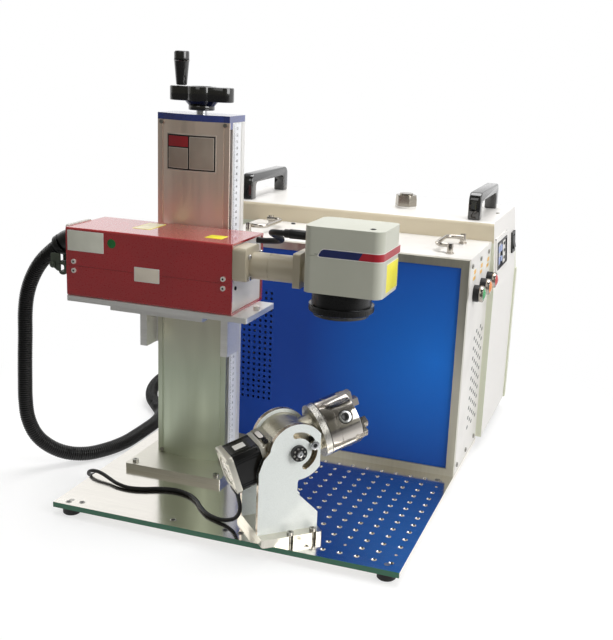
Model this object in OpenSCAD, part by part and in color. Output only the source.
// Bench laser marking machine: base plate with a tapped grid, lift column, laser box with scan head,
// cabinet with buttons, rear case, and a tilting rotary chuck. Millimetres, +Z up, origin under its middle.

/* [Base plate] */
// Width of the base plate, left to right
plate_w = 544; // [540:1:560]
// Depth of the base plate, front to back
plate_d = 545; // [540:1:560]
// Thickness of the base plate
plate_t = 8; // [6:0.5:12]
// Height of the rubber feet under the plate
foot_h = 12; // [8:1:20]
// Diameter of the rubber feet
foot_dia = 27; // [20:1:34]
// Pitch of the tapped holes
grid_pitch = 25; // [20:1:30]
// Number of tapped holes across
grid_cols = 10; // [4:1:10]
// Number of tapped holes from front to back
grid_rows = 13; // [6:1:13]
// Core diameter of the tapped holes
grid_hole_dia = 5; // [4:0.5:6]
// Diameter of the countersink round each tapped hole
grid_mouth_dia = 8; // [6.5:0.5:9]

/* [Column] */
// Width of the lift column
column_w = 123; // [118:1:128]
// Depth of the column, front crest to back
column_d = 67; // [66:1:76]
// Length of the column profiles
column_len = 555.6; // [540:0.1:620]
// How far the cover bows forward
cover_bow = 9; // [6:0.5:9]
// Wall of the cover and the channel
column_wall = 6; // [4:0.5:7]
// Diameter of the lead screw
screw_dia = 14; // [12:1:16]
// Diameter of the guide rods
rod_dia = 12; // [10:1:14]
// Span of the crank, lobe end to lobe end
crank_span = 107; // [90:1:120]
// Length of the crank grip
grip_len = 49; // [40:1:60]

/* [Carriage and laser box] */
// Length of the laser box
box_len = 276; // [260:1:290]
// Depth of the laser box
box_d = 116; // [100:1:116]
// Height of the laser box
box_h = 106; // [90:1:120]
// Sheet thickness of the laser box
box_wall = 2; // [1.5:0.5:3]
// Height of the support plate over the floor
support_z = 310.7; // [290:0.1:330]
// Diameter of the beam tube
beam_tube_dia = 40; // [34:1:44]
// Width of the scan head
scan_w = 114.4; // [108:0.1:120]
// Depth of the scan head
scan_d = 94; // [90:1:100]
// Height of the scan head
scan_h = 93.5; // [88:0.5:100]
// Diameter of the lens barrel
lens_dia = 86; // [80:1:88]

/* [Cabinet and case] */
// Width of the front cabinet
cabinet_w = 442.2; // [420:0.1:450]
// Depth of the front cabinet
cabinet_d = 196.5; // [190:0.5:200]
// Height of the front cabinet
cabinet_h = 368; // [340:1:390]
// Width of the aluminium frame around the blue panel
frame_w = 13; // [10:1:16]
// Width of the rear case at its foot
case_w = 532; // [510:1:540]
// Depth of the rear case at its foot
case_d = 262.9; // [240:0.1:280]
// Height of the top of the rear case over the floor
case_top = 421; // [400:1:440]
// Diameter of the push button domes
button_dia = 22; // [18:1:24]

/* [Rotary chuck] */
// Height of the tilt pivot over the base plate
pivot_h = 131; // [125:1:140]
// Turn of the rotary on the base plate
rotary_yaw = 43.07; // [30:0.01:60]
// Tilt of the chuck at rest
chuck_tilt = 18; // [10:1:30]
// Diameter of the chuck
chuck_dia = 80; // [74:1:84]
// Length of the chuck
chuck_len = 49; // [44:1:54]
// Size of the square motor
motor_w = 57; // [54:1:57]
// Length of the motor
motor_len = 56; // [50:1:60]

/* [Hidden] */

$fn = 48;
// Overrun of every cut
over = 1;
// Clearance of a turning or sliding fit, on the radius
run = 0.05;
// Clearance between neighbouring parts that only lie close
gap = 0.3;

// Base plate and feet
plate_top = foot_h + plate_t;
grid_x = plate_w - 17.5;
grid_y = 22.3;
foot_inset = 22;
grid_sink = (grid_mouth_dia - grid_hole_dia) / 2;
dowel_cols = [0, 3];
dowel_rows = [1, 11];
foot_front = 17;
foot_rows = [foot_front, plate_d - 219, plate_d - 18];
foot_hole_dia = 4.2;
foot_head_dia = 9;
foot_head_h = 2.5;

// Column
column_x = 119.5;
screw_y = 254;
cover_margin = 8;
cover_groove = 2;
cover_edge = 2;
cover_skin = 2.5;
slot_w = 10;
channel_depth = 46;
channel_y = screw_y - 16.7;
column_front = channel_y - slot_w;
column_back = channel_y + channel_depth;
cover_crest = column_back - column_d;
flange_w = 170;
flange_d = 168;
flange_t = 10;
column_z = plate_top + flange_t;
column_top = column_z + column_len;
flange_front = 156;
flange_inset = 12;
end_block_t = 10;
cap_t = 10;
cap_r = 1.5;
rod_spread = 36;
bearing_dia = 28;
bearing_h = 8;
bearing_bore = 12;
cover_screw_inset = 7;
cover_screw_edge = 4;
cap_screw_dia = 6;
cap_screw_head = 10;
cap_screw_head_h = 4;
button_screw_dia = 4;
button_screw_head = 6.5;
button_screw_head_h = 2.2;
screw_sink = 6;
channel_inner = column_w / 2 - column_wall;

// Lead screw and crank
collar_dia = 17.5;
collar_h = 5.1;
journal_dia = bearing_bore;
hub_dia = 41;
hub_z = column_top + cap_t + gap + collar_h;
hub_h = 6;
crank_h = 30;
crank_mid_dia = 47;
crank_end_dia = 36;
crank_off = 11.5;
crank_arm = crank_span / 2 - crank_end_dia / 2;
grip_x = 35;
grip_top_dia = 24;
grip_neck_dia = 14;
grip_pin_dia = 8;
grip_z = hub_z + hub_h + crank_h + 3.4;

// Carriage
arm_t = 12;
arm_gap = 3.9;
arm_front = 194.3;
arm_back = column_front + slot_w - gap;
arm_h = 79.5;
tongue_t = 8;
bracket_t = 8.2;
bracket_z = support_z - bracket_t;
bracket_front = 103.1;
bracket_back = cover_crest - 4.3;
slider_w = 100;
slider_h = 75;
slider_y = column_front + (slot_w - tongue_t) / 2;
slider_back = column_back - column_wall - 4;
nut_dia = 28;
nut_h = 30;
nut_flange_dia = 40;
nut_flange_h = 8;
slider_z = bracket_z - slider_h - 2.5;
support_t = 8.3;
support_over = 25.5;
support_len = box_len + support_over;
support_front = 96;
support_back = 203;
support_edge = 7;

// Laser box
box_x = -30.5;
box_front = 98.3;
box_z = support_z + support_t;
tray_h = 47;
box_r = 3;
end_rim = 3;
end_plate_t = 1.5;
seam = 0.8;
module_len_share = 0.72;
module_d_share = 0.6;
module_h_share = 0.5;
box_screw_inset = 13.5;
box_screw_drop = 7;

// Beam line and scan head
beam_y = 130.3;
beam_z = box_z + 72.5;
block_len = 21;
block_w = 51;
block_h = 50.4;
tube_len = 69.4;
flange_sq = 50.3;
flange_len = 10.8;
neck_dia = 34;
neck_len = 11.2;
tube_bore = 24;
scan_x = box_x + box_len + block_len + tube_len + flange_len + neck_len;
scan_y = 83.3;
scan_z = box_z + 53;
scan_split = 52.5;
scan_wall = 3;
scan_floor = 8;
scan_r = 13;
scan_groove = 1.2;
lens_x = scan_x + 46;
lens_y = scan_y + 43.7;
lens_ring_dia = lens_dia + 7.4;
lens_h = 37;
lens_ring_h = 9;
lens_ring_drop = 21;
lens_glass_dia = 64;
lens_glass_t = 6;
lens_thread_dia = 60;
galvo_dia = 22;
galvo_len = 34;
galvo_off = [16, -14];
galvo_lift = [6, 20];
galvo_shelf = 6;
mirror_sink = 4;
mirror_t = 2;
mirror_len = 22;
mirror_w = 15;
mirror_shaft = 6;
mirror_share = 0.62;
port_dia = 16;
port_z = scan_z + 71;
port_len = 9;
plug_body_dia = 14;
plug_body_len = 36;

// Cabinet
cabinet_x = plate_w - 0.9 - cabinet_w;
cabinet_right = cabinet_x + cabinet_w;
cabinet_y = 347.6;
cabinet_back = cabinet_y + cabinet_d;
cabinet_top = plate_top + cabinet_h;
cabinet_wall = 2;
frame_t = 12;
frame_lip = 3;
panel_t = 2;
rebate = 4;
vent_dia = 5;
vent_pitch = 10;
vent_cols = 10;
vent_rows = 20;
vent_x = cabinet_x + 16.6;
vent_z = plate_top + 85.9;
side_vent_y = cabinet_y + 99.4;
side_vent_z = plate_top + 54;
side_vent_step = 17.5;
side_vent_drop = 18;
side_vent_cols = 5;
side_vent_rows = 10;
bail_post_dia = 10;
bail_post_h = 17;
bail_span = 104;
bail_post_y = cabinet_y + 45.7;
bail_inset = 42.6;
bail_arm = 30;
bail_dia = 7;
bail_z = cabinet_top + 12;
bail_pin_dia = 4;
button_y = cabinet_y + 57.7;
button_step = 60;
button_z = plate_top + 304;
button_collar_dia = 28;
button_collar_h = 8;
button_ring_h = 8;
button_proud = 4;
button_stroke = 3;
button_stem = 14;
button_stem_dia = 10;
button_step_in = 2;
button_seat = 6;

// Rear case
case_x = 21.5;
case_z = 23;
case_kink = 295;
case_lean = 9;
case_back_lean = 27.7;
case_wall = 2.5;
case_y = cabinet_back;
case_back = case_y + case_d;
case_r = 8;
rim_t = 12;
rim_proud = 2.5;
case_mid = case_x + case_w / 2;
neck_x = 361.5;
neck_y = case_y + 89.2;
neck_bore = 30;
neck_dia_out = 40;
neck_h = 4;
neck_deep = 14;
cap_hex = 41;
cap_hex_h = 20;
cap_dome_h = 3;
handle_inset = 39;
handle_w = 22;
handle_y = case_y + 10.9;
handle_len = 185;
handle_rise = 48;
handle_bar = 17;
handle_leg = 20;
handle_cut = 14;
case_foot_dia = 30;
case_foot_x = 50;
case_foot_y = 50;
display_y = case_y + 12.9;
display_w = 115;
display_z = 326;
display_h = 64;
display_t = 3;
lean_angle = atan(case_lean / (case_top - case_kink));
rocker_y = case_y + 213;
rocker_z = 355;
rocker_w = 30;
rocker_h = 34;
rocker_rim = 3;
rocker_t = 8;
rocker_pin = 3;
rocker_pin_len = 1.5;
inlet_w = 48;
inlet_h = 28;
inlet_x = 120;
inlet_z = 90;
inlet_t = 3;
inlet_deep = 18;
fan_dia = 110;
fan_z = 160;
fan_slot = 6;
fan_rings = 5;

// Rotary
pivot_x = 352.2;
pivot_y = 67.6;
base_back = -57;
base_front = 35;
base_t = 12;
base_half = 54.5;
yoke_half = 37.5;
yoke_t = 8;
yoke_r = 42;
yoke_flat = 34.5;
yoke_foot_h = 35.6;
yoke_waist_z = 68.7;
yoke_waist_top = 85.6;
yoke_chin_z = 91;
yoke_back_z = 106;
yoke_back_top = 125;
yoke_shoulder = 7;
arc_slot_r = 25.5;
arc_slot_w = 9;
arc_slot_from = -62;
arc_slot_to = 98;
lock_angle = 22;
lock_dia = 8;
lock_head = 13;
lock_head_h = 5;
pivot_dia = 12;
pivot_boss = 23;
pivot_boss_h = 6;
drum_r = 37;
drum_half = yoke_half - yoke_t - 0.7;
snout_dia = 56;
motor_s = 42;
motor_cap = 8;
motor_chamfer = 5;
motor_pilot = 38;
plug_w = 16;
plug_h = 8;
plug_len = 10;
chuck_plate_s = 43;
chuck_plate_t = 10;
spindle_dia = 30;
spindle_len = 22;
chuck_s = chuck_plate_s + chuck_plate_t;
chuck_face = chuck_s + chuck_len;
chuck_bore = 16;
jaw_w = 12;
jaw_sink = 12;
jaw_rise = 16;
jaw_step = 8;
jaw_in = 14;
jaw_len = 25;
jaw_foot = 4;
jaw_travel = 8;
key_dia = 20;
key_share = 0.6;
key_square = 7;
key_depth = 5;
u_slot_w = 6.6;
// Column and row of the tapped holes that hold the foot plate
clamp_holes = [[5, 1], [6, 0]];
clamp_bolts = [for (h = clamp_holes)
    let (dx = grid_x - h[0] * grid_pitch - pivot_x, dy = grid_y + h[1] * grid_pitch - pivot_y)
        [dx * cos(rotary_yaw) + dy * sin(rotary_yaw), dy * cos(rotary_yaw) - dx * sin(rotary_yaw)]];

// Cords, with their routes in round numbers from the plate's front left corner
hose_dia = 24;
hose_bore = 17;
hose_rib = 2;
hose_ribs = 150;
boot_bend = 40;
boot_angle = 35;
boot_dia = 32;
boot_y = 140;
boot_z = 400;
boot_plate_w = 64;
boot_plate_h = 70;
boot_plate_t = 6;
gland_dia = 38;
gland_len = 20;
gland_y = 650;
gland_z = 50;
cable_dia = 6;
cable_gland_dia = 14;
cable_gland_len = 12;
cable_gland_y = 602;
cable_gland_z = 40;
scan_cable_dia = 9;
hose_route = [[-59.5, 140, 392.8], [-79, 140, 379.2], [-103, 140, 357], [-120, 139, 331], [-131, 138, 302],
    [-135, 136, 270], [-135, 134, 235], [-135, 131, 198], [-135, 129, 160], [-135, 128, 124], [-132, 129, 91],
    [-123, 136, 61], [-108, 150, 38], [-88, 171, 21], [-65, 198, 13], [-45, 233, 12], [-34, 272, 12],
    [-32, 309, 12], [-32, 344, 12], [-33, 378, 12], [-39, 410, 12], [-53, 439, 12], [-75, 463, 14],
    [-96, 485, 18], [-111, 513, 24], [-117, 545, 30], [-113, 577, 36], [-99, 606, 41], [-77, 630, 46],
    [-50, 645, 49], [-22.5, 650, 50], [1.5, 650, 50]];
motor_cable_route = [[295.67, 14.75, 88.24], [297.02, 16.01, 82.55], [298, 19, 73], [298, 23, 63], [296, 28, 52],
    [291, 33, 41], [282, 38, 31], [268, 41, 25], [252, 44, 23], [232, 53, 23], [214, 69, 23], [198, 87, 23],
    [177, 102, 23], [151, 108, 23], [126, 102, 23], [103, 91, 23], [80, 86, 23], [58, 90, 24], [40, 98, 25.5],
    [25, 104.5, 27.5], [11, 109, 28.5], [-1.5, 112, 26.5], [-10.5, 117, 20.5], [-15.5, 125, 12.5], [-17, 136, 6.5],
    [-16.5, 150, 3.7], [-15, 167, 3.2], [-14, 205, 3.2], [-13, 300, 3.2],
    [-13, 400, 3.2], [-15, 490, 3.2], [-19, 530, 6], [-22, 555, 16], [-23, 575, 27], [-18, 590, 36], [-8, 599, 40],
    [3.5, 602, 40], [9.5, 602, 40]];
scan_cable_route = [[313.5, 130.3, 443], [305, 130.3, 443], [297, 132.5, 442.5], [290, 138, 441], [286.5, 147, 438],
    [287, 157, 434], [289.5, 167, 429.5], [290, 177, 425], [285, 187, 421], [276, 193, 418.5], [265, 196, 417],
    [254, 197, 416], [242.5, 197, 416]];

// The machine's middle, without its cords
reach_left = box_x - boot_plate_t - (boot_bend + boot_dia / 2) * sin(boot_angle);
reach_right = cabinet_right + button_collar_h + button_ring_h + button_proud;
motor_reach = (motor_s + motor_len) * cos(chuck_tilt) + (motor_w / 2 - motor_chamfer) * sin(chuck_tilt);
reach_front = pivot_y - motor_reach * sin(rotary_yaw) - motor_w / 2 * cos(rotary_yaw);
reach_back = case_back + max(rim_proud, inlet_t);
mid_x = (reach_left + reach_right) / 2;
mid_y = (reach_front + reach_back) / 2;

function unit(v) = v / norm(v);
function point(route, i) = route[max(0, min(len(route) - 1, i))];
// A smooth curve through the four points p, at the share t of its middle stretch
function curve(p, t) = 0.5 * (2 * p[1] + (p[2] - p[0]) * t + (2 * p[0] - 5 * p[1] + 4 * p[2] - p[3]) * t * t
    + (3 * p[1] - p[0] - 3 * p[2] + p[3]) * t * t * t);
function at(route, s) = let (i = min(floor(s), len(route) - 2))
    curve([for (k = [-1 : 2]) point(route, i + k)], s - i);
function heading(route, s) = let (d = 0.02)
    s < 1 ? unit(route[1] - route[0])
    : s > len(route) - 2 ? unit(route[len(route) - 1] - route[len(route) - 2])
    : unit(at(route, s + d) - at(route, s - d));
// Straight first and last stretches, a curve between them
function along(route, s) = s < 1 ? route[0] + (route[1] - route[0]) * s
    : s > len(route) - 2 ? route[len(route) - 2] + (route[len(route) - 1] - route[len(route) - 2])
        * (s - len(route) + 2)
    : at(route, s);
function side_of(h) = unit(cross(h, abs(h[2]) > 0.9 ? [0, 1, 0] : [0, 0, 1]));
// The side vector carried from ring to ring without twist
function carried(heads, i = 0, side = undef, out = []) = i == len(heads) ? out
    : let (s = side == undef ? side_of(heads[0]) : unit(side - heads[i] * (side * heads[i])))
        carried(heads, i + 1, s, concat(out, [s]));
function ring_points(c, h, side, r, sides) = let (up = cross(h, side))
    [for (k = [0 : sides - 1]) c + r * (side * cos(360 * k / sides) + up * sin(360 * k / sides))];

// A tube with one radius for each place in stops
module swept(route, stops, radii, sides) {
    heads = [for (s = stops) heading(route, s)];
    rights = carried(heads);
    rings = [for (i = [0 : len(stops) - 1])
        ring_points(along(route, stops[i]), heads[i], rights[i], radii[i], sides)];
    n = len(stops);
    skin = [for (i = [0 : n - 2]) for (k = [0 : sides - 1])
        let (a = i * sides + k, b = i * sides + (k + 1) % sides)
            each [[a, a + sides, b], [b, a + sides, b + sides]]];
    first = [for (k = [1 : sides - 2]) [0, k, k + 1]];
    last = [for (k = [1 : sides - 2]) [(n - 1) * sides, (n - 1) * sides + k + 1, (n - 1) * sides + k]];
    polyhedron([for (r = rings) each r], concat(skin, first, last), convexity = 10);
}

// A plain round cord along its route
module cord(route, dia, per_point = 2) {
    steps = (len(route) - 1) * per_point;
    swept(route, [for (i = [0 : steps]) i / per_point], [for (i = [0 : steps]) dia / 2], 8);
}

// A ribbed hose: ribs between plain ends, and its bore as the second skin
module ribbed_hose(route, dia, bore, ribs, rib) {
    last = len(route) - 1;
    outer = concat([0, 1], [for (i = [0 : 2 * ribs - 1]) 1 + (i + 0.5) / (2 * ribs) * (last - 2)],
        [last - 1, last]);
    radii = concat([dia / 2, dia / 2 - rib],
        [for (i = [0 : 2 * ribs - 1]) i % 2 == 0 ? dia / 2 : dia / 2 - rib], [dia / 2 - rib, dia / 2]);
    inner = [for (i = [0 : 2 * last]) i / 2];
    heads_out = [for (s = outer) heading(route, s)];
    heads_in = [for (s = inner) heading(route, s)];
    sides = 8;
    rights_out = carried(heads_out);
    rights_in = carried(heads_in);
    rings_out = [for (i = [0 : len(outer) - 1])
        each ring_points(along(route, outer[i]), heads_out[i], rights_out[i], radii[i], sides)];
    rings_in = [for (i = [0 : len(inner) - 1])
        each ring_points(along(route, inner[i]), heads_in[i], rights_in[i], bore / 2, sides)];
    n = len(outer);
    m = len(inner);
    base = n * sides;
    skin = [for (i = [0 : n - 2]) for (k = [0 : sides - 1])
        let (a = i * sides + k, b = i * sides + (k + 1) % sides)
            each [[a, a + sides, b], [b, a + sides, b + sides]]];
    lining = [for (i = [0 : m - 2]) for (k = [0 : sides - 1])
        let (a = base + i * sides + k, b = base + i * sides + (k + 1) % sides)
            each [[a, b, a + sides], [b, b + sides, a + sides]]];
    start = [for (k = [0 : sides - 1])
        let (a = k, b = (k + 1) % sides)
            each [[a, b, base + a], [b, base + b, base + a]]];
    end = [for (k = [0 : sides - 1])
        let (a = k, b = (k + 1) % sides, f = (n - 1) * sides, g = base + (m - 1) * sides)
            each [[f + a, g + a, f + b], [f + b, g + a, g + b]]];
    polyhedron(concat(rings_out, rings_in), concat(skin, lining, start, end), convexity = 10);
}

// The frames that the sub-parts are drawn in
module bench() { translate([-mid_x, -mid_y, 0]) children(); }
module at_column(z) { bench() translate([column_x, screw_y, z]) children(); }
module at_rotary() { bench() translate([pivot_x, pivot_y, plate_top]) rotate([0, 0, rotary_yaw]) children(); }
// Along the chuck's axis, +X to the jaws, from the tilt pivot
module at_tilt() { at_rotary() translate([0, 0, pivot_h]) rotate([0, -chuck_tilt, 0]) children(); }

// Small shapes
module along_x(d, l) { rotate([0, 90, 0]) cylinder(d = d, h = l); }
module along_y(d, l) { rotate([-90, 0, 0]) cylinder(d = d, h = l); }
module plate_corners(w, d, r) {
    translate([r, 0]) square([w - 2 * r, d]);
    translate([0, r]) square([w, d - 2 * r]);
    for (x = [r, w - r], y = [r, d - r]) translate([x, y]) circle(r);
}
// A cap screw standing on the plane z = 0, its shank below
module cap_screw(d, head, head_h, sink, key) {
    difference() {
        union() {
            cylinder(d = head, h = head_h);
            translate([0, 0, -sink]) cylinder(d = d, h = sink);
        }
        translate([0, 0, head_h - key / 2]) cylinder(d = key, h = key, $fn = 6);
    }
}

// Base plate

module base_plate() {
    color("silver") bench() difference() {
        translate([0, 0, foot_h]) cube([plate_w, plate_d, plate_t]);
        for (c = [0 : grid_cols - 1], r = [0 : grid_rows - 1])
            translate([grid_x - c * grid_pitch, grid_y + r * grid_pitch, foot_h - over]) {
                cylinder(d = grid_hole_dia, h = plate_t + 2 * over, $fn = 24);
                if (!search(c, dowel_cols) || !search(r, dowel_rows)) translate([0, 0, plate_t + over - grid_sink])
                    cylinder(d1 = grid_hole_dia, d2 = 2 * grid_mouth_dia - grid_hole_dia, h = 2 * grid_sink, $fn = 24);
            }
        for (x = [foot_inset, plate_w - foot_inset], y = foot_rows) translate([x, y, plate_top - screw_sink])
            foot_screw(0, over);
        at_flange_screws() translate([0, 0, foot_h - over])
            cylinder(d = cap_screw_dia, h = plate_t + 2 * over);
    }
}

// Countersunk screw of the feet, or its hole
module foot_screw(play, rise) {
    cylinder(d = foot_hole_dia + play, h = screw_sink);
    translate([0, 0, screw_sink - foot_head_h]) cylinder(d1 = foot_hole_dia, d2 = foot_head_dia, h = foot_head_h);
    translate([0, 0, screw_sink]) cylinder(d = foot_head_dia, h = rise);
}

module at_flange_screws() {
    for (sx = [-1, 1], y = [flange_front + flange_inset, flange_front + flange_d - flange_inset])
        translate([column_x + sx * (flange_w / 2 - flange_inset), y, 0]) children();
}

module rubber_feet() {
    color([0.08, 0.08, 0.08]) bench() {
        for (x = [foot_inset, plate_w - foot_inset], y = foot_rows) translate([x, y, 0])
            rubber_foot(foot_dia, foot_h);
        for (x = [case_x + case_foot_x, case_x + case_w - case_foot_x],
            y = [case_y + case_foot_y, case_back - case_foot_y])
            translate([x, y, 0]) rubber_foot(case_foot_dia, case_z);
    }
}

module rubber_foot(d, h) {
    r = d / 2;
    chamfer = r / 9;
    rotate_extrude() polygon([[0, 0], [r - chamfer, 0], [r, chamfer], [r, h - chamfer], [r - chamfer, h], [0, h]]);
}

module machine_screws() {
    color([0.7, 0.7, 0.72]) bench() {
        for (x = [foot_inset, plate_w - foot_inset], y = foot_rows) translate([x, y, plate_top - screw_sink])
            foot_screw(0, 0);
        at_flange_screws() translate([0, 0, column_z])
            cap_screw(cap_screw_dia, cap_screw_head, cap_screw_head_h, flange_t + plate_t, cap_screw_dia - 1);
        for (z = [column_z + cover_screw_edge, column_top - cover_screw_edge])
            for (sx = [-1, 1])
                translate([column_x + sx * (column_w / 2 - cover_screw_inset), column_front - cover_edge, z])
                    rotate([90, 0, 0])
                        cap_screw(button_screw_dia, button_screw_head, button_screw_head_h, screw_sink, 2.5);
        at_cabinet_screws() cap_screw(button_screw_dia, 8, button_screw_head_h, cabinet_wall, 3);
        for (b = clamp_bolts) translate([pivot_x, pivot_y, 0]) rotate([0, 0, rotary_yaw])
            translate([b[0], b[1], plate_top + base_t])
                cap_screw(grid_hole_dia - 2 * run, 10, 5, base_t + plate_t, 5);
    }
}

module at_cabinet_screws() {
    inset = 13;
    for (y = [cabinet_y + frame_t + inset, cabinet_y + cabinet_d / 2, cabinet_back - 2 * inset],
        z = [plate_top + inset, cabinet_top - inset])
        translate([cabinet_right, y, z]) rotate([0, 90, 0]) children();
}

// Column

// Outline of the bowed cover, its inside left out when hollow is true
module cover_outline(hollow) {
    half = column_w / 2 - cover_margin - cover_groove;
    r = (half * half + cover_bow * cover_bow) / (2 * cover_bow);
    crest = cover_crest - screw_y;
    back = column_front - screw_y;
    difference() {
        union() {
            intersection() {
                translate([0, crest + r]) circle(r, $fn = 180);
                translate([-half, crest]) square([2 * half, cover_bow]);
            }
            translate([-column_w / 2, back - cover_edge]) square([column_w, cover_edge]);
        }
        if (hollow) intersection() {
            translate([0, crest + r]) circle(r - cover_skin, $fn = 180);
            translate([cover_skin - half, crest]) square([2 * (half - cover_skin), column_d]);
        }
        if (hollow) for (sx = [-1, 1]) translate([sx * (half + cover_groove / 2), back - cover_edge])
            circle(cover_groove / 2);
    }
}

module column_flange() {
    color([0.75, 0.74, 0.72]) {
        difference() {
            union() {
                bench() translate([column_x - flange_w / 2, flange_front, plate_top])
                    linear_extrude(flange_t) plate_corners(flange_w, flange_d, 2);
                end_block(column_z, end_block_t);
            }
            bench() at_flange_screws() translate([0, 0, plate_top - over])
                cylinder(d = cap_screw_dia, h = flange_t + 2 * over);
            at_column(column_z + end_block_t - bearing_h) cylinder(d = bearing_dia, h = bearing_h + over);
            at_column(plate_top + flange_t / 2) cylinder(d = bearing_bore + 2, h = flange_t + end_block_t);
            at_rods(column_z) cylinder(d = rod_dia, h = end_block_t + over);
            cover_screw_holes(column_z + cover_screw_edge);
        }
    }
}

// Block inside the end of the column: it carries the bearing and rods, and the cover is screwed to it
module end_block(z, h) {
    at_column(z) {
        translate([-column_w / 2, column_front - screw_y, 0]) cube([column_w, slot_w - gap, h]);
        translate([gap - channel_inner, column_front - screw_y, 0])
            cube([2 * (channel_inner - gap), column_back - column_front - column_wall - gap, h]);
    }
}

module at_rods(z) { for (sx = [-1, 1]) at_column(z) translate([sx * rod_spread, 0, 0]) children(); }

module cover_screw_holes(z) {
    for (sx = [-1, 1]) at_column(z)
        translate([sx * (column_w / 2 - cover_screw_inset), column_front - cover_edge - over - screw_y, 0])
            along_y(button_screw_dia, screw_sink + over);
}

module column_channel() {
    color([0.82, 0.82, 0.8]) at_column(column_z) difference() {
        translate([-column_w / 2, channel_y - screw_y, 0]) cube([column_w, channel_depth, column_len]);
        translate([-channel_inner, channel_y - over - screw_y, -over])
            cube([2 * channel_inner, channel_depth - column_wall + over, column_len + 2 * over]);
        for (sx = [-1, 1], y = [10, 22, 34])
            translate([sx * column_w / 2, channel_y - screw_y + y, -over])
                cylinder(d = 2, h = column_len + 2 * over, $fn = 16);
    }
}

module column_cover() {
    color([0.8, 0.8, 0.79]) difference() {
        at_column(column_z) linear_extrude(column_len) cover_outline(true);
        for (z = [column_z + cover_screw_edge, column_top - cover_screw_edge]) cover_screw_holes(z);
    }
}

module column_cap() {
    color([0.12, 0.2, 0.5]) difference() {
        union() {
            at_column(column_top) linear_extrude(cap_t) union() {
                cover_outline(false);
                translate([-column_w / 2, column_front - screw_y])
                    square([column_w, column_back - column_front]);
            }
            end_block(column_top - end_block_t, end_block_t);
        }
        at_column(column_top - end_block_t - over) cylinder(d = bearing_dia, h = bearing_h + over);
        at_column(column_top - end_block_t) cylinder(d = bearing_bore + 2, h = end_block_t + cap_t + over);
        at_rods(column_top - end_block_t - over) cylinder(d = rod_dia, h = end_block_t + over);
        cover_screw_holes(column_top - cover_screw_edge);
    }
}

module guide_rods() {
    color([0.85, 0.86, 0.88]) at_rods(column_z) cylinder(d = rod_dia, h = column_len);
}

module bearing() {
    r = bearing_dia / 2;
    b = bearing_bore / 2 + run;
    wall = (r - b) / 4;
    rotate_extrude() polygon([[b, 0], [b + wall, 0], [b + wall, wall / 2], [r - wall, wall / 2], [r - wall, 0],
        [r, 0], [r, bearing_h], [r - wall, bearing_h], [r - wall, bearing_h - wall / 2],
        [b + wall, bearing_h - wall / 2], [b + wall, bearing_h], [b, bearing_h]]);
}

module screw_bearings() {
    color([0.6, 0.6, 0.62]) {
        at_column(column_z + end_block_t - bearing_h) bearing();
        at_column(column_top - end_block_t) bearing();
    }
}

module lead_screw() {
    bottom = column_z + end_block_t + gap;
    top = column_top - end_block_t - gap;
    color([0.8, 0.8, 0.82]) {
        at_column(plate_top + flange_t / 2 + gap) cylinder(d = journal_dia, h = bottom - plate_top - flange_t / 2);
        at_column(bottom) cylinder(d = screw_dia, h = top - bottom);
        at_column(top) cylinder(d = journal_dia, h = hub_z + hub_h + crank_h - 5 - top);
        at_column(column_top + cap_t + gap) cylinder(d = collar_dia, h = collar_h);
    }
}

// Two-lobed hand crank
module crank_handle() {
    color([0.1, 0.1, 0.11]) difference() {
        union() {
            at_column(hub_z) cylinder(d = hub_dia, h = hub_h + 4);
            at_column(hub_z + hub_h) difference() {
                union() {
                    hull() {
                        crank_puck(0, crank_mid_dia, crank_h, 0);
                        crank_puck(-crank_arm, crank_end_dia, crank_h - 6, 3);
                    }
                    hull() {
                        crank_puck(0, crank_mid_dia, crank_h, 0);
                        crank_puck(crank_arm, crank_end_dia, crank_h - 6, 3);
                    }
                }
                translate([0, 0, crank_h - 4]) cylinder(d = hub_dia / 2, h = 4 + over);
            }
        }
        at_column(hub_z - over) cylinder(d = journal_dia, h = hub_h + crank_h + over - 4);
        at_column(hub_z + hub_h + crank_h / 2) translate([-grip_x, 0, 0])
            cylinder(d = grip_pin_dia, h = crank_h);
    }
}

module crank_puck(x, d, h, lift) {
    r = 4;
    translate([x, 0, lift]) {
        translate([0, 0, r]) cylinder(d = d, h = h - 2 * r, $fn = 32);
        cylinder(d = d - 2 * r, h = h, $fn = 32);
    }
}

// Turned grip on its pin
module crank_grip() {
    r = grip_top_dia / 2;
    n = grip_neck_dia / 2;
    color([0.09, 0.09, 0.1]) at_column(grip_z) translate([-grip_x, 0, 0]) {
        rotate_extrude() polygon(concat([[0, 0], [n, 0]],
            [for (i = [1 : 8]) [n + (r - n) * sin(90 * i / 8), grip_len * 0.86 * i / 8]],
            [for (i = [1 : 6]) [r * cos(90 * i / 6), grip_len * (0.86 + 0.14 * sin(90 * i / 6))]]));
        translate([0, 0, -12]) cylinder(d = grip_pin_dia - 2 * run, h = 12);
    }
}

// Carriage

module slider_block() {
    color([0.72, 0.72, 0.74]) difference() {
        at_column(slider_z) translate([-slider_w / 2, slider_y - screw_y, 0])
            cube([slider_w, slider_back - slider_y, slider_h]);
        at_rods(slider_z - over) cylinder(d = rod_dia + 2 * run, h = slider_h + 2 * over);
        at_column(slider_z - over) cylinder(d = nut_dia, h = slider_h + 2 * over);
    }
}

module screw_nut() {
    color([0.78, 0.6, 0.28]) difference() {
        union() {
            at_column(slider_z) cylinder(d = nut_dia, h = nut_h);
            at_column(slider_z - nut_flange_h) cylinder(d = nut_flange_dia, h = nut_flange_h);
        }
        at_column(slider_z - nut_flange_h - over) cylinder(d = screw_dia + 2 * run, h = nut_h + nut_flange_h + 2 * over);
    }
}

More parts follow.
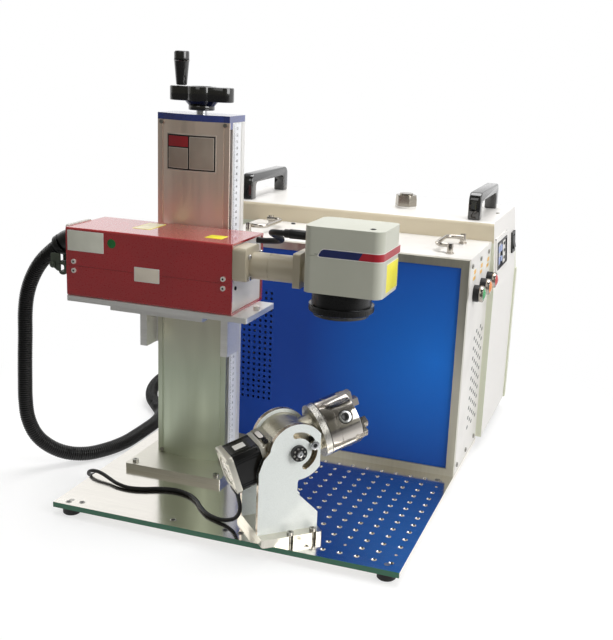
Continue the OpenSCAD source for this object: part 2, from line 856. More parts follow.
module carriage_bracket() {
    outer = column_w / 2 + arm_gap + arm_t;
    color([0.78, 0.78, 0.77]) difference() {
        union() {
            at_column(bracket_z) translate([-outer, bracket_front - screw_y, 0])
                cube([2 * outer, bracket_back - bracket_front, bracket_t]);
            for (sx = [-1, 1]) at_column(bracket_z - arm_h) {
                translate([sx > 0 ? outer - arm_t : -outer, arm_front - screw_y, 0])
                    cube([arm_t, arm_back - arm_front, arm_h]);
                translate([sx > 0 ? slider_w / 2 : -outer + arm_t, slider_y - screw_y, 0])
                    cube([outer - arm_t - slider_w / 2, tongue_t, arm_h]);
            }
        }
        at_column(bracket_z + bracket_t / 2) translate([outer - 8, bracket_front + 20 - screw_y, 0])
            along_x(3, 8 + over);
    }
}

module support_plate() {
    color([0.8, 0.8, 0.78]) bench() difference() {
        translate([box_x, support_front, support_z]) linear_extrude(support_t)
            plate_corners(support_len, support_back - support_front, 3);
        for (x = [box_x + support_len - support_edge, box_x + support_edge])
            translate([x, (support_front + support_back) / 2, support_z - over])
                cylinder(d = cap_screw_dia, h = support_t + 2 * over);
    }
}

// Laser box

module box_profile(shrink) {
    translate([shrink, shrink]) plate_corners(box_d - 2 * shrink, box_h - 2 * shrink, box_r);
}

module at_box() { bench() translate([box_x, box_front, box_z]) children(); }
// Draws a YZ outline along +X
module run_x(l) { rotate([90, 0, 90]) linear_extrude(l) children(); }

module box_shell() {
    difference() {
        run_x(box_len) box_profile(0);
        translate([box_wall + end_plate_t + end_rim, 0, 0])
            run_x(box_len - 2 * (box_wall + end_plate_t + end_rim)) box_profile(box_wall);
        for (x = [-over, box_len - end_plate_t - end_rim]) translate([x, 0, 0])
            run_x(end_plate_t + end_rim + over) box_profile(end_rim);
    }
}

module laser_cover() {
    color([0.5, 0.14, 0.15]) difference() {
        at_box() intersection() {
            box_shell();
            translate([-over, -over, tray_h]) cube([box_len + 2 * over, box_d + 2 * over, box_h]);
        }
        laser_screw_places() translate([0, 0, -screw_sink]) cylinder(d = button_screw_dia, h = screw_sink + over);
        at_box() for (y = [seam - box_d, box_d - seam]) translate([-over, y, tray_h])
            cube([box_len + 2 * over, box_d, seam]);
        at_box() translate([box_len - box_wall - end_plate_t - end_rim - over, beam_y - box_front, beam_z - box_z])
            along_x(tube_bore, box_wall + end_plate_t + end_rim + 2 * over);
    }
}

module laser_tray() {
    color([0.47, 0.12, 0.13]) difference() {
        at_box() intersection() {
            box_shell();
            translate([-over, -over, -over]) cube([box_len + 2 * over, box_d + 2 * over, tray_h + over]);
        }
        laser_screw_places() translate([0, 0, -screw_sink]) cylinder(d = button_screw_dia, h = screw_sink + over);
    }
}

// Screws through the front, each side of the seam
module laser_screw_places() {
    at_box() for (x = [box_screw_inset, box_len - box_screw_inset], z = [tray_h - box_screw_drop, tray_h + box_screw_drop])
        translate([x, 0, z]) rotate([90, 0, 0]) children();
}

module laser_end_plates() {
    inset = end_rim + gap / 3;
    color([0.92, 0.91, 0.9]) at_box() for (end = [0, 1]) difference() {
        translate([end * (box_len - end_plate_t - end_rim) + (1 - end) * end_rim, inset, inset]) run_x(end_plate_t)
            plate_corners(box_d - 2 * inset, box_h - 2 * inset, box_r);
        translate([-over, beam_y - box_front, beam_z - box_z]) along_x(tube_bore, box_len + 2 * over);
        translate([-over, boot_y - box_front, boot_z - box_z]) along_x(hose_bore, box_len / 2);
    }
}

module laser_screws() {
    color([0.75, 0.75, 0.77]) {
        laser_screw_places() cap_screw(button_screw_dia, 7.5, button_screw_head_h, screw_sink, 3);
        bench() for (x = [box_x + support_len - support_edge, box_x + support_edge])
            translate([x, (support_front + support_back) / 2, support_z + support_t])
                if (x > box_x + box_len) cap_screw(cap_screw_dia, cap_screw_head, 6, support_t, 5);
    }
}

// Laser source on the floor of the tray
module laser_module() {
    l = box_len * module_len_share;
    d = box_d * module_d_share;
    h = box_h * module_h_share;
    color([0.6, 0.62, 0.65]) at_box() translate([(box_len - l) / 2, (box_d - d) / 2, box_wall]) {
        cube([l, d, h]);
        for (i = [0 : 11]) translate([l * (i + 0.5) / 12, 0, h]) cube([l / 40, d, h / 4]);
    }
}

// Beam line

module beam_block() {
    color([0.62, 0.6, 0.58]) bench() difference() {
        translate([box_x + box_len, box_front, beam_z - block_h * 0.415]) cube([block_len, block_w, block_h]);
        translate([box_x + box_len - over, beam_y, beam_z]) along_x(tube_bore, block_len + 2 * over);
        for (z = [beam_z - 12, beam_z + 14]) translate([box_x + box_len + block_len / 2, box_front - over, z])
            along_y(4, 6);
    }
}

module beam_tube() {
    x = box_x + box_len + block_len;
    color([0.86, 0.85, 0.84]) bench() difference() {
        union() {
            translate([x, beam_y, beam_z]) along_x(beam_tube_dia, tube_len);
            translate([x + tube_len, beam_y - flange_sq / 2, beam_z - flange_sq * 0.44]) run_x(flange_len)
                plate_corners(flange_sq, flange_sq, 3);
            translate([x + tube_len + flange_len, beam_y, beam_z]) along_x(neck_dia, neck_len);
        }
        translate([x - over, beam_y, beam_z]) along_x(tube_bore, tube_len + flange_len + neck_len + 2 * over);
        translate([x + tube_len * 0.4, beam_y, beam_z]) rotate([0, 90, 0]) difference() {
            cylinder(d = beam_tube_dia + over, h = 1.2);
            translate([0, 0, -over]) cylinder(d = beam_tube_dia - 1.2, h = 1.2 + 2 * over);
        }
    }
}

module at_scan(z) { bench() translate([scan_x, scan_y, z]) children(); }

module scan_outline(shrink) {
    translate([shrink, shrink]) plate_corners(scan_w - 2 * shrink, scan_d - 2 * shrink, scan_r - shrink);
}

module scan_housing() {
    color([0.86, 0.85, 0.84]) difference() {
        at_scan(scan_z) linear_extrude(scan_split) scan_outline(0);
        at_scan(scan_z + scan_floor) linear_extrude(scan_split) scan_outline(scan_wall);
        bench() translate([lens_x, lens_y, scan_z - over]) cylinder(d = lens_thread_dia, h = scan_floor + 2 * over);
        bench() translate([scan_x - over, beam_y, beam_z]) along_x(tube_bore, scan_wall + 2 * over);
    }
}

module scan_cover() {
    color([0.9, 0.89, 0.88]) difference() {
        at_scan(scan_z + scan_split) linear_extrude(scan_h - scan_split) scan_outline(0);
        at_scan(scan_z + scan_split - over) linear_extrude(scan_h - scan_split - scan_wall + over)
            scan_outline(scan_wall);
        at_scan(scan_z + scan_split) difference() {
            translate([-over, -over, 0]) cube([scan_w + 2 * over, scan_d + 2 * over, scan_groove]);
            translate([0, 0, -over]) linear_extrude(scan_groove + 2 * over) scan_outline(scan_groove / 2);
        }
        bench() translate([scan_x - over, beam_y, port_z]) along_x(port_dia / 2, scan_wall + 2 * over);
    }
}

// Two small scanner motors at right angles over the lens, each on a bracket
module galvo_motors() {
    flat = beam_z + galvo_lift[0];
    color([0.3, 0.3, 0.32]) bench() {
        difference() {
            union() {
                translate([lens_x + galvo_off[0], lens_y, flat]) along_x(galvo_dia, galvo_len);
                translate([lens_x + galvo_off[0] + galvo_len / 2, lens_y - galvo_dia / 2, scan_z + scan_floor])
                    cube([galvo_len / 2, galvo_dia, flat - scan_z - scan_floor]);
            }
            translate([lens_x + galvo_off[0] - over, lens_y, flat]) along_x(mirror_shaft, galvo_len / 2 + over);
        }
        difference() {
            union() {
                at_upright() cylinder(d = galvo_dia, h = galvo_len);
                at_upright() translate([-galvo_dia / 2, 0, mirror_sink])
                    cube([galvo_dia, scan_y + scan_d - scan_wall - lens_y, galvo_shelf]);
            }
            at_upright() translate([0, 0, -over]) cylinder(d = mirror_shaft, h = galvo_len / 2 + over);
        }
    }
}

module at_upright() { translate([lens_x + galvo_off[1], lens_y, beam_z + galvo_lift[1]]) children(); }

module mirror_blade() {
    translate([-mirror_w / 2, -mirror_t / 2, 0]) cube([mirror_w, mirror_t, mirror_len * mirror_share]);
}

module scan_mirror_x() {
    color([0.8, 0.85, 0.9]) bench()
        translate([lens_x + galvo_off[0] - mirror_sink, lens_y, beam_z + galvo_lift[0]]) {
            along_x(mirror_shaft - 2 * run, (galvo_len + mirror_sink) / 2);
            rotate([0, -90, 0]) rotate([0, 0, 45]) mirror_blade();
        }
}

module scan_mirror_y() {
    color([0.8, 0.85, 0.9]) bench() at_upright() translate([0, 0, -mirror_sink]) {
        cylinder(d = mirror_shaft - 2 * run, h = (galvo_len + mirror_sink) / 2);
        rotate([180, 0, 45]) mirror_blade();
    }
}

module lens_barrel() {
    r = lens_dia / 2;
    ring = lens_ring_dia / 2;
    t = lens_thread_dia / 2 - run;
    color([0.07, 0.07, 0.08]) bench() translate([lens_x, lens_y, scan_z]) difference() {
        rotate_extrude($fn = 96) polygon([[0, 6], [t, 6], [t, 0], [r, 0], [r, -lens_ring_drop],
            [ring, -lens_ring_drop], [ring, -lens_ring_drop - lens_ring_h], [r - 1, -lens_ring_drop - lens_ring_h - 3],
            [r - 3, -lens_h], [0, -lens_h]]);
        translate([0, 0, -lens_h - over]) cylinder(d = lens_glass_dia, h = lens_glass_t + 3 + over);
        translate([0, 0, -lens_h]) cylinder(d = lens_glass_dia - 6, h = lens_h + 6 + over);
    }
}

module lens_glass() {
    color([0.25, 0.3, 0.4]) bench() translate([lens_x, lens_y, scan_z - lens_h + 3])
        cylinder(d = lens_glass_dia, h = lens_glass_t, $fn = 96);
}

module scan_cable() {
    color([0.06, 0.06, 0.06]) bench() {
        translate([scan_x - port_len, beam_y, port_z]) along_x(port_dia, port_len);
        translate([scan_x - port_len - plug_body_len, beam_y, port_z]) along_x(plug_body_dia, plug_body_len);
        cord(scan_cable_route, scan_cable_dia);
    }
}

module hose_boot() {
    color([0.1, 0.1, 0.1]) bench() difference() {
        union() {
            translate([box_x - boot_plate_t, boot_y - boot_plate_w / 2, boot_z - boot_plate_h * 0.62])
                run_x(boot_plate_t) plate_corners(boot_plate_w, boot_plate_h, 4);
            translate([box_x - boot_plate_t, boot_y, boot_z - boot_bend]) rotate([90, 0, 0])
                rotate([0, 0, 90]) rotate_extrude(angle = boot_angle) translate([boot_bend, 0]) circle(d = boot_dia);
        }
        translate([box_x - boot_plate_t, boot_y, boot_z - boot_bend]) rotate([90, 0, 0])
            rotate([0, 0, 90]) rotate_extrude(angle = boot_angle) translate([boot_bend, 0]) circle(d = hose_bore);
        translate([box_x - boot_plate_t, boot_y, boot_z]) along_x(hose_bore, boot_plate_t + over);
    }
}

// Cabinet

module cabinet_shell() {
    y = cabinet_y + frame_t;
    d = cabinet_d - frame_t;
    color([0.93, 0.93, 0.92]) bench() difference() {
        translate([cabinet_x, y, plate_top]) cube([cabinet_w, d, cabinet_h]);
        translate([cabinet_x + cabinet_wall, y + cabinet_wall, plate_top + cabinet_wall])
            cube([cabinet_w - 2 * cabinet_wall, d - 2 * cabinet_wall, cabinet_h - 2 * cabinet_wall]);
        translate([cabinet_x + frame_w + 4, y - over, plate_top + frame_w + 4])
            cube([cabinet_w - 2 * frame_w - 8, cabinet_wall + 2 * over, cabinet_h - 2 * frame_w - 8]);
        for (c = [0 : side_vent_cols - 1], r = [0 : side_vent_rows - 1])
            translate([cabinet_right - cabinet_wall - over, side_vent_y + c * side_vent_step,
                side_vent_z + (r + (c % 2) / 2) * side_vent_drop])
                along_x(vent_dia, cabinet_wall + 2 * over);
        at_cabinet_screws() translate([0, 0, -cabinet_wall - over])
            cylinder(d = button_screw_dia, h = cabinet_wall + 2 * over);
        at_buttons() translate([-cabinet_wall - over, 0, 0])
            along_x(button_dia - button_step_in, cabinet_wall + 2 * over);
        at_bail_posts() translate([0, 0, -cabinet_wall - over]) cylinder(d = bail_post_dia / 2, h = cabinet_wall + 2 * over);
    }
}

module at_buttons() {
    for (i = [0 : 2]) translate([cabinet_right, button_y + i * button_step, button_z]) children();
}

module at_bail_posts() {
    for (x = [cabinet_x + bail_inset, cabinet_right - bail_inset], y = [0, bail_span])
        translate([x, bail_post_y + y, cabinet_top]) children();
}

module cabinet_frame() {
    color([0.66, 0.64, 0.6]) bench() difference() {
        translate([cabinet_x, cabinet_y, plate_top]) cube([cabinet_w, frame_t, cabinet_h]);
        translate([cabinet_x + frame_w, cabinet_y - over, plate_top + frame_w])
            cube([cabinet_w - 2 * frame_w, frame_t + 2 * over, cabinet_h - 2 * frame_w]);
        translate([cabinet_x + frame_w - rebate, cabinet_y + frame_lip, plate_top + frame_w - rebate])
            cube([cabinet_w - 2 * (frame_w - rebate), frame_t, cabinet_h - 2 * (frame_w - rebate)]);
    }
}

module blue_panel() {
    inset = frame_w - rebate + gap / 3;
    color([0.08, 0.3, 0.7]) bench() difference() {
        translate([cabinet_x + inset, cabinet_y + frame_lip, plate_top + inset])
            cube([cabinet_w - 2 * inset, panel_t, cabinet_h - 2 * inset]);
        for (c = [0 : vent_cols - 1], r = [0 : vent_rows - 1])
            translate([vent_x + c * vent_pitch, cabinet_y + frame_lip - over, vent_z + r * vent_pitch])
                rotate([-90, 0, 0]) cylinder(d = vent_dia, h = panel_t + 2 * over, $fn = 16);
    }
}

// Turned posts with a cross hole for the bail's pin
module bail_posts() {
    color([0.5, 0.5, 0.52]) bench() at_bail_posts() difference() {
        union() {
            cylinder(d = bail_post_dia, h = bail_post_h);
            cylinder(d = bail_post_dia + 4, h = 2);
            translate([0, 0, -cabinet_wall]) cylinder(d = bail_post_dia / 2, h = cabinet_wall);
        }
        translate([0, -bail_post_dia, bail_z - cabinet_top]) along_y(bail_pin_dia + 2 * run, 2 * bail_post_dia);
    }
}

// Bent rod bail: two arms, two bends and the grip bar, with a pin end in each post
module bail(x, dir) {
    reach = bail_arm - bail_dia / 2;
    side = bail_span / 2 - bail_post_dia / 2 - gap - bail_dia / 2;
    bend = 2 * bail_dia;
    pin = bail_span / 2 + bail_post_dia / 2 - side;
    bench() translate([x, bail_post_y + bail_span / 2, bail_z]) mirror([dir > 0 ? 0 : 1, 0, 0]) {
        translate([reach, bend - side, 0]) along_y(bail_dia, 2 * (side - bend));
        for (sy = [0, 1]) mirror([0, sy, 0]) {
            translate([-bail_dia / 2, side, 0]) along_x(bail_dia, reach - bend + bail_dia / 2);
            translate([reach - bend, side - bend, 0]) rotate_extrude(angle = 90)
                translate([bend, 0]) circle(d = bail_dia);
            translate([0, side, 0]) along_y(bail_pin_dia, pin);
        }
    }
}

module bail_left() { color([0.15, 0.15, 0.16]) bail(cabinet_x + bail_inset, 1); }
module bail_right() { color([0.15, 0.15, 0.16]) bail(cabinet_right - bail_inset, -1); }

module button_collars() {
    color([0.1, 0.1, 0.1]) bench() at_buttons() difference() {
        union() {
            along_x(button_collar_dia, button_collar_h);
            translate([button_collar_h, 0, 0]) along_x(button_collar_dia - button_step_in, button_ring_h);
            translate([-cabinet_wall, 0, 0]) along_x(button_dia - button_step_in, cabinet_wall);
        }
        translate([button_collar_h + button_ring_h - button_seat, 0, 0]) along_x(button_dia + 2 * run, button_seat + over);
        translate([-cabinet_wall - over, 0, 0])
            along_x(button_stem_dia + 2 * run, button_collar_h + button_ring_h);
    }
}

// Domed button: flat skirt in the collar, stem behind
module push_button(i) {
    r = button_dia / 2;
    skirt = button_stroke - gap;
    ball = (r * r + button_proud * button_proud) / (2 * button_proud);
    half = asin(r / ball);
    bench() translate([cabinet_right + button_collar_h + button_ring_h, button_y + i * button_step, button_z])
        rotate([0, 90, 0]) {
            translate([0, 0, -skirt]) cylinder(d = button_dia, h = skirt);
            rotate_extrude() polygon(concat([[0, 0]], [for (k = [0 : 8])
                [ball * sin(half * (1 - k / 8)), ball * cos(half * (1 - k / 8)) - ball + button_proud]]));
            translate([0, 0, -button_stem]) cylinder(d = button_stem_dia, h = button_stem - skirt);
        }
}

module green_button() { color([0.1, 0.6, 0.3]) push_button(0); }
module orange_button() { color([0.95, 0.5, 0.1]) push_button(1); }
module red_button() { color([0.8, 0.1, 0.1]) push_button(2); }

// Rear case

// The leaning body of the case, smaller all round by s
module case_body(s) {
    intersection() {
        translate([0, case_back - s + over, 0]) rotate([90, 0, 0]) linear_extrude(case_d + 2 * over)
            polygon([[case_x + s, case_z + s], [case_x + case_w - s, case_z + s],
                [case_x + case_w - s, case_kink], [case_x + case_w - case_lean - s, case_top - s],
                [case_x + case_lean + s, case_top - s], [case_x + s, case_kink]]);
        translate([case_x - over, 0, 0]) run_x(case_w + 2 * over) difference() {
            polygon([[case_y + s, case_z + s], [case_back - s, case_z + s], [case_back - s, case_kink],
                [case_back - case_back_lean - s, case_top - s], [case_y + s, case_top - s]]);
            translate([case_y + s, case_top - s]) difference() {
                translate([-over, -case_r]) square([case_r + over, case_r + over]);
                translate([case_r, -case_r]) circle(case_r);
            }
        }
    }
}

module case_shell() {
    color([0.93, 0.92, 0.91]) bench() difference() {
        union() {
            difference() {
                case_body(0);
                case_body(case_wall);
            }
            intersection() {
                translate([case_x - rim_proud, case_back - rim_t, case_z])
                    cube([case_w + 2 * rim_proud, rim_t + rim_proud, case_kink - case_z]);
                difference() {
                    translate([case_x - rim_proud, case_back - rim_t, case_z])
                        cube([case_w + 2 * rim_proud, rim_t + rim_proud, case_top]);
                    translate([case_x + rim_t, case_back - 2 * rim_t, case_z + rim_t])
                        cube([case_w - 2 * rim_t, 3 * rim_t + rim_proud, case_top]);
                    translate([case_x, case_back - 2 * rim_t, case_z - over])
                        cube([case_w, 2 * rim_t, case_top]);
                }
            }
            translate([neck_x, neck_y, case_top - neck_deep]) cylinder(d = neck_dia_out, h = neck_deep + neck_h);
        }
        translate([neck_x, neck_y, case_top - neck_deep - over])
            cylinder(d = neck_bore + 2 * run, h = neck_deep + neck_h + 2 * over);
        at_fan() for (i = [1 : fan_rings]) rotate([90, 0, 0]) difference() {
            cylinder(d = fan_dia * i / fan_rings, h = 3 * case_wall, center = true);
            cylinder(d = fan_dia * i / fan_rings - 2 * fan_slot, h = 4 * case_wall, center = true);
            for (a = [0, 90]) rotate([0, 0, a + 45]) cube([fan_dia, fan_slot, 4 * case_wall], center = true);
        }
        translate([case_x + inlet_x, case_back - case_wall - over, inlet_z])
            cube([inlet_w, case_wall + 2 * over, inlet_h]);
        rocker_frame() translate([-case_wall - over, 0, 0]) cube([case_wall + 2 * over, rocker_w, rocker_h]);
    }
}

module at_fan() { translate([case_mid, case_back - case_wall / 2, fan_z]) children(); }

// Lower front corner of the rocker switch on the leaning side
module rocker_frame() {
    translate([case_x + case_w, 0, case_kink]) rotate([0, -lean_angle, 0])
        translate([0, rocker_y - rocker_w / 2, (rocker_z - case_kink) / cos(lean_angle) - rocker_h / 2]) children();
}

module carry_handles() {
    for (x = [case_x + case_lean + handle_inset, case_x + case_w - case_lean - handle_inset])
        color([0.08, 0.08, 0.08]) bench() translate([x - handle_w / 2, handle_y, case_top]) run_x(handle_w)
            difference() {
                polygon([[0, 0], [handle_len, 0], [handle_len, handle_rise - handle_cut],
                    [handle_len - handle_cut, handle_rise], [handle_cut, handle_rise], [0, handle_rise - handle_cut]]);
                polygon([[handle_leg, -over], [handle_len - handle_leg, -over],
                    [handle_len - handle_leg, handle_rise - handle_bar - handle_cut / 2],
                    [handle_len - handle_leg - handle_cut / 2, handle_rise - handle_bar],
                    [handle_leg + handle_cut / 2, handle_rise - handle_bar],
                    [handle_leg, handle_rise - handle_bar - handle_cut / 2]]);
            }
}

// Black plastic fittings: display frame and switch frame on the right side, mains inlet at the back
module case_fittings() {
    color([0.1, 0.1, 0.11]) bench() {
        translate([case_x + case_w, 0, case_kink]) rotate([0, -lean_angle, 0])
            translate([0, display_y, (display_z - case_kink) / cos(lean_angle)]) difference() {
                cube([display_t, display_w, display_h]);
                translate([display_t - 2, 8, 8]) cube([2 + over, display_w - 16, display_h - 16]);
            }
        rocker_frame() difference() {
            union() {
                translate([0, -rocker_rim, -rocker_rim])
                    cube([rocker_rim, rocker_w + 2 * rocker_rim, rocker_h + 2 * rocker_rim]);
                translate([-rocker_t, 0, 0]) cube([rocker_t, rocker_w, rocker_h]);
            }
            translate([-rocker_t + 2, rocker_rim, rocker_rim])
                cube([rocker_t + rocker_rim, rocker_w - 2 * rocker_rim, rocker_h - 2 * rocker_rim]);
            translate([0, rocker_rim - rocker_pin_len - gap, rocker_h / 2])
                along_y(rocker_pin + 2 * run, rocker_w - 2 * rocker_rim + 2 * (rocker_pin_len + gap));
        }
        difference() {
            union() {
                translate([case_x + inlet_x - 4, case_back, inlet_z - 4]) cube([inlet_w + 8, inlet_t, inlet_h + 8]);
                translate([case_x + inlet_x, case_back - inlet_deep, inlet_z]) cube([inlet_w, inlet_deep, inlet_h]);
            }
            translate([case_x + inlet_x + 10, case_back - inlet_deep + 2, inlet_z + 4])
                cube([inlet_w - 20, inlet_deep + inlet_t, inlet_h - 8]);
        }
        for (i = [-1 : 1]) translate([case_x + inlet_x + inlet_w / 2 + 7 * i - 1, case_back - inlet_deep + 1.5,
            inlet_z + inlet_h / 2 - 2]) cube([2, 12, 4]);
    }
}

module rocker_switch() {
    w = rocker_w - 2 * rocker_rim - 2 * gap;
    h = rocker_h - 2 * rocker_rim - 3 * gap;
    pin = rocker_pin;
    color([0.75, 0.1, 0.1]) bench() rocker_frame()
        translate([0, rocker_w / 2, rocker_h / 2]) rotate([90, 0, 0]) {
            translate([0, 0, -w / 2]) linear_extrude(w) polygon([[-pin, -pin], [rocker_rim, -h / 2 + 1],
                [rocker_rim + 2.5, -h / 2 + 2], [rocker_rim + 0.5, 0], [rocker_rim + 0.5, h / 2 - 2],
                [rocker_rim - 2, h / 2 - 1], [-pin, pin]]);
            translate([0, 0, -w / 2 - gap - rocker_pin_len]) cylinder(d = pin, h = w + 2 * (gap + rocker_pin_len));
        }
}

// Hexagon cap with a round spigot in the case's neck
module filler_cap() {
    color([0.85, 0.86, 0.88]) bench() translate([neck_x, neck_y, case_top + neck_h + gap]) {
        intersection() {
            cylinder(d = cap_hex, h = cap_hex_h, $fn = 6);
            cylinder(d1 = cap_hex + 4, d2 = cap_hex - 3, h = cap_hex_h);
        }
        translate([0, 0, cap_hex_h]) cylinder(d = cap_hex * 0.6, h = cap_dome_h);
        translate([0, 0, -neck_deep]) cylinder(d = neck_bore, h = neck_deep);
    }
}

// Rotary

module rotary_base() {
    color([0.85, 0.86, 0.86]) at_rotary() difference() {
        translate([base_back, -base_half, 0]) linear_extrude(base_t)
            plate_corners(base_front - base_back, 2 * base_half, 4);
        for (b = clamp_bolts, m = [0, 1]) mirror([0, m, 0]) translate([b[0], -base_half - over, -over]) {
            translate([-u_slot_w / 2, 0, 0]) cube([u_slot_w, b[1] + base_half + over, base_t + 2 * over]);
            translate([0, b[1] + base_half + over, 0]) cylinder(d = u_slot_w, h = base_t + 2 * over);
        }
    }
}

// Side outline of the yoke, in x and height over the base plate
module yoke_outline() {
    left = base_back - 1;
    intersection() {
        union() {
            translate([0, pivot_h]) circle(yoke_r, $fn = 120);
            polygon([[left, base_t], [base_front - 1.4, base_t], [base_front - 1.4, yoke_foot_h],
                [1, yoke_waist_z], [1, yoke_waist_top], [3.5, yoke_chin_z], [3.5, pivot_h],
                [left + yoke_shoulder + 12, pivot_h + 8], [left + yoke_shoulder, yoke_back_top],
                [left, yoke_back_z]]);
        }
        translate([left, base_t]) square([yoke_flat - left, pivot_h + yoke_r]);
    }
}

module rotary_plates() {
    color([0.86, 0.9, 0.88]) at_rotary() for (y = [-yoke_half, yoke_half - yoke_t])
        difference() {
            translate([0, y + yoke_t, 0]) rotate([90, 0, 0]) linear_extrude(yoke_t) yoke_outline();
            translate([0, y - over, pivot_h]) {
                along_y(pivot_dia + 2 * run, yoke_t + 2 * over);
                rotate([-90, 0, 0]) {
                    rotate([0, 0, -arc_slot_to]) rotate_extrude(angle = arc_slot_to - arc_slot_from)
                        translate([arc_slot_r - arc_slot_w / 2, 0]) square([arc_slot_w, yoke_t + 2 * over]);
                    for (a = [arc_slot_from, arc_slot_to]) rotate([0, 0, -a]) translate([arc_slot_r, 0, 0])
                        cylinder(d = arc_slot_w + gap, h = yoke_t + 2 * over);
                }
            }
        }
}

module drum_housing() {
    block = motor_w - 1;
    color([0.8, 0.8, 0.8]) at_tilt() difference() {
        union() {
            translate([0, -drum_half, 0]) along_y(2 * drum_r, 2 * drum_half);
            translate([-motor_s, -block / 2, -block / 2]) cube([motor_s, block, block]);
            along_x(snout_dia, chuck_plate_s - gap);
        }
        translate([chuck_plate_s - spindle_len - over, 0, 0]) along_x(spindle_dia + 2 * run, spindle_len + 2 * over);
        for (sy = [-1, 1]) {
            translate([0, sy > 0 ? drum_half - 14 : -drum_half - over, 0]) along_y(pivot_dia, 14 + over);
            rotate([0, chuck_tilt - lock_angle, 0]) translate([arc_slot_r, sy > 0 ? drum_half - 12 : -drum_half - over, 0])
                along_y(lock_dia, 12 + over);
        }
        translate([-motor_s - over, 0, 0]) along_x(motor_pilot, 3 + over);
    }
}

module tilt_motor() {
    m = motor_w / 2;
    color([0.1, 0.1, 0.11]) at_tilt() {
        for (x = [-motor_s - motor_cap, -motor_s - motor_len]) translate([x, 0, 0]) run_x(motor_cap) motor_outline(0);
        translate([motor_cap - motor_s - motor_len, 0, 0]) run_x(motor_len - 2 * motor_cap) motor_outline(0.8);
        translate([-motor_s, 0, 0]) along_x(motor_pilot, 2.5);
        translate([-motor_s - motor_len, -plug_w / 2, -m - plug_h + 0.8]) cube([plug_len, plug_w, plug_h]);
    }
}

module motor_outline(shrink) {
    m = motor_w / 2 - shrink;
    c = motor_chamfer;
    polygon([[-m, c - m], [c - m, -m], [m - c, -m], [m, c - m], [m, m - c], [m - c, m], [c - m, m], [-m, m - c]]);
}

// Pivot bolts in the drum, turning in the yoke, and the lock screws in its curved slots
module tilt_bolts() {
    color([0.12, 0.12, 0.12]) at_tilt() for (sy = [-1, 1]) mirror([0, sy > 0 ? 0 : 1, 0]) {
        translate([0, drum_half - 14, 0]) along_y(pivot_dia, yoke_half - drum_half + 14 + gap);
        translate([0, yoke_half + gap, 0]) difference() {
            along_y(pivot_boss, pivot_boss_h);
            translate([0, pivot_boss_h - 3, 0]) rotate([-90, 0, 0]) cylinder(d = 8, h = 3 + over, $fn = 6);
        }
        rotate([0, chuck_tilt - lock_angle, 0]) translate([arc_slot_r, 0, 0]) {
            translate([0, drum_half - 12, 0]) along_y(lock_dia, yoke_half - drum_half + 12 + gap);
            translate([0, yoke_half + gap, 0]) along_y(lock_head, lock_head_h);
        }
    }
}

module chuck_plate() {
    color([0.75, 0.75, 0.76]) at_tilt() difference() {
        union() {
            translate([chuck_plate_s, 0, 0]) along_x(chuck_dia, chuck_plate_t);
            translate([chuck_plate_s - spindle_len, 0, 0]) along_x(spindle_dia, spindle_len);
        }
        translate([chuck_plate_s - spindle_len - over, 0, 0]) along_x(chuck_bore, spindle_len + chuck_plate_t + 2 * over);
    }
}

module chuck_body() {
    color([0.8, 0.8, 0.82]) at_tilt() difference() {
        translate([chuck_s, 0, 0]) rotate([0, 90, 0]) rotate_extrude($fn = 96) polygon([[0, 0], [chuck_dia / 2, 0],
            [chuck_dia / 2, chuck_len * 0.3], [chuck_dia / 2 - 1, chuck_len * 0.31],
            [chuck_dia / 2 - 1, chuck_len * 0.34], [chuck_dia / 2, chuck_len * 0.35],
            [chuck_dia / 2, chuck_len - 2], [chuck_dia / 2 - 2, chuck_len], [0, chuck_len]]);
        translate([chuck_s - over, 0, 0]) along_x(chuck_bore, chuck_len + 2 * over);
        for (a = [0 : 120 : 240]) rotate([a, 0, 0]) {
            translate([chuck_face - jaw_sink, -jaw_w / 2 - run, 0])
                cube([jaw_sink + over, jaw_w + 2 * run, chuck_dia]);
            translate([chuck_face - jaw_sink, -jaw_w / 2 - jaw_foot / 2 - run, jaw_in - jaw_travel - gap])
                cube([jaw_foot, jaw_w + jaw_foot + 2 * run, chuck_dia]);
        }
        for (a = [60 : 120 : 300]) rotate([a, 0, 0]) translate([chuck_s + chuck_len * key_share, 0, 0]) {
            translate([0, 0, chuck_dia / 2 - key_depth / 3]) difference() {
                cylinder(d = key_dia, h = key_depth);
                translate([0, 0, -over]) cylinder(d = key_dia - 3, h = key_depth + 2 * over);
            }
            translate([-key_square / 2, -key_square / 2, chuck_dia / 2 - 2 * key_depth])
                cube([key_square, key_square, 3 * key_depth]);
        }
    }
}

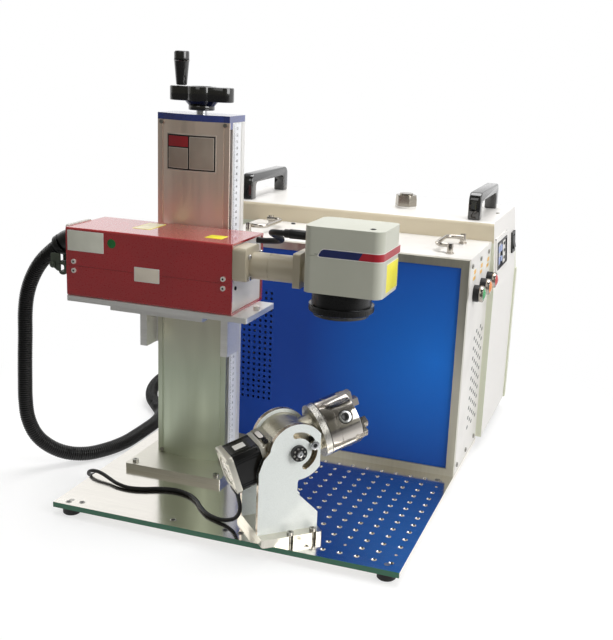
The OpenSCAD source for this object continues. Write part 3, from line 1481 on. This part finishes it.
// Stepped jaw: its foot runs in the T slot of the chuck's face
module jaw(a) {
    color([0.7, 0.7, 0.72]) at_tilt() rotate([a, 0, 0]) translate([chuck_face - jaw_sink, 0, jaw_in]) {
        translate([run, -jaw_w / 2 - jaw_foot / 2 + run, 0]) cube([jaw_foot - 2 * run, jaw_w + jaw_foot - 2 * run, jaw_len]);
        translate([run, -jaw_w / 2 + run, 0]) cube([jaw_sink + jaw_step, jaw_w - 2 * run, jaw_len]);
        translate([run, -jaw_w / 2 + run, 0]) cube([jaw_sink + jaw_rise, jaw_w - 2 * run, jaw_len * 0.45]);
    }
}

module jaw_a() { jaw(0); }
module jaw_b() { jaw(120); }
module jaw_c() { jaw(240); }

// Hose, cables and their glands

module umbilical_hose() {
    color([0.07, 0.07, 0.07]) bench() ribbed_hose(hose_route, hose_dia, hose_bore, hose_ribs, hose_rib);
}

module motor_cable() {
    color([0.06, 0.06, 0.06]) bench() cord(motor_cable_route, cable_dia);
}

module hose_gland() {
    color([0.1, 0.1, 0.1]) bench() {
        translate([case_x - gland_len, gland_y, gland_z]) difference() {
            union() {
                along_x(gland_dia - 6, gland_len);
                translate([gland_len * 0.5, 0, 0]) rotate([0, 90, 0]) cylinder(d = gland_dia, h = gland_len * 0.5, $fn = 6);
            }
            translate([-over, 0, 0]) along_x(hose_bore, gland_len + 2 * over);
        }
        translate([case_x - cable_gland_len, cable_gland_y, cable_gland_z])
            along_x(cable_gland_dia, cable_gland_len);
    }
}

base_plate();
rubber_feet();
machine_screws();
column_flange();
column_channel();
column_cover();
column_cap();
guide_rods();
screw_bearings();
cabinet_shell();
cabinet_frame();
blue_panel();
bail_posts();
button_collars();
case_shell();
carry_handles();
case_fittings();
rotary_base();
rotary_plates();
umbilical_hose();
motor_cable();
hose_gland();
lead_screw();
crank_handle();
crank_grip();
slider_block();
screw_nut();
carriage_bracket();
support_plate();
laser_cover();
laser_tray();
laser_end_plates();
laser_screws();
laser_module();
beam_block();
beam_tube();
scan_housing();
scan_cover();
galvo_motors();
scan_mirror_x();
scan_mirror_y();
lens_barrel();
lens_glass();
scan_cable();
hose_boot();
drum_housing();
tilt_motor();
tilt_bolts();
chuck_plate();
chuck_body();
jaw_a();
jaw_b();
jaw_c();
green_button();
orange_button();
red_button();
rocker_switch();
bail_left();
bail_right();
filler_cap();
